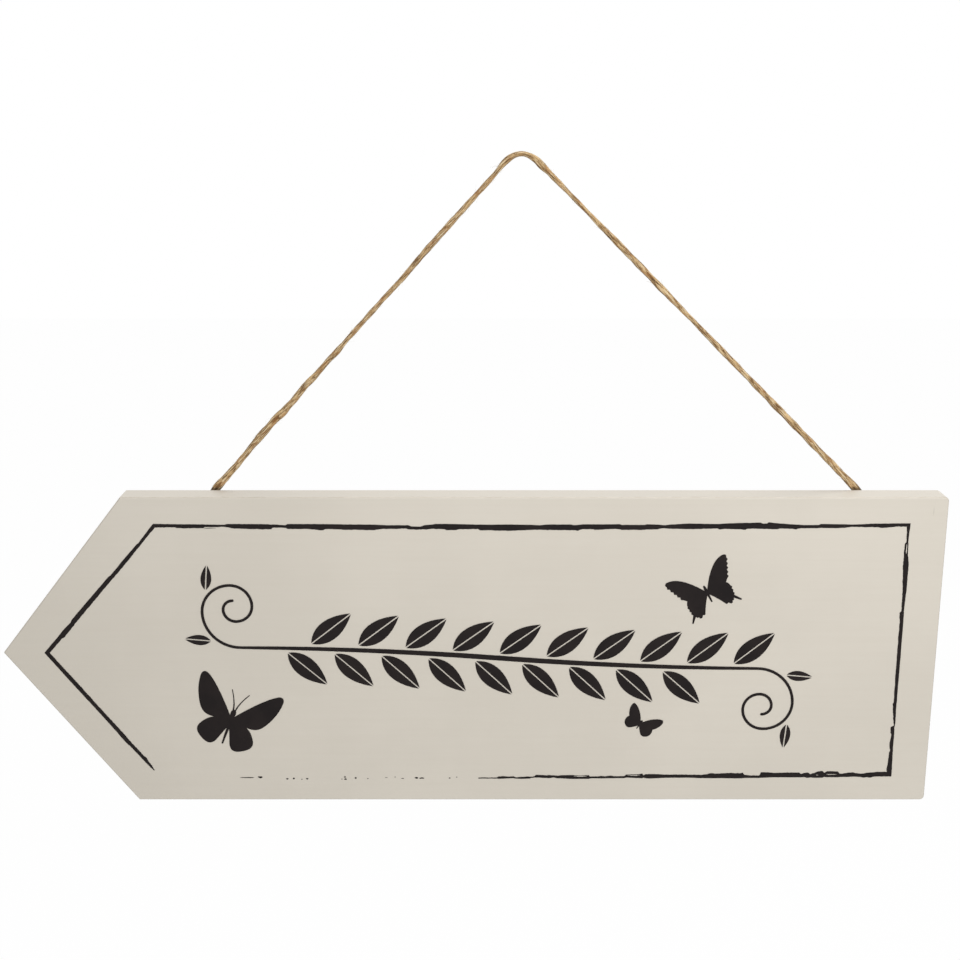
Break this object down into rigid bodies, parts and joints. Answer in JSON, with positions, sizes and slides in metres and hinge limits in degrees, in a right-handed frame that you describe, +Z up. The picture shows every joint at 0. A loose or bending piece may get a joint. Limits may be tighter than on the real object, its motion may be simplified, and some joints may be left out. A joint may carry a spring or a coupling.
{
  "type": "hanging arrow sign",
  "caption": "Arrow-shaped painted wooden board with a printed brush border, leafy branch and butterflies, hung on a jute cord stapled to its back.",
  "frame": {"origin": "the hook point, under the cord at its peak", "axes": "+X to the viewer's right along the board, away from the arrow's tip; +Y towards the wall behind the board; +Z up"},
  "size_m": [0.5018, 0.0192, 0.3496],
  "materials": {
    "painted_wood": "satin off-white paint",
    "jute": "twisted natural fibre",
    "steel_wire": "bright wire",
    "black_ink": "matt printed ink"
  },
  "bodies": {
    "root": {"board": "painted_wood", "hanging_cord": "jute", "staples": "steel_wire", "printed_border": "black_ink", "printed_branch": "black_ink", "printed_butterflies": "black_ink"}
  },
  "joints": []
}
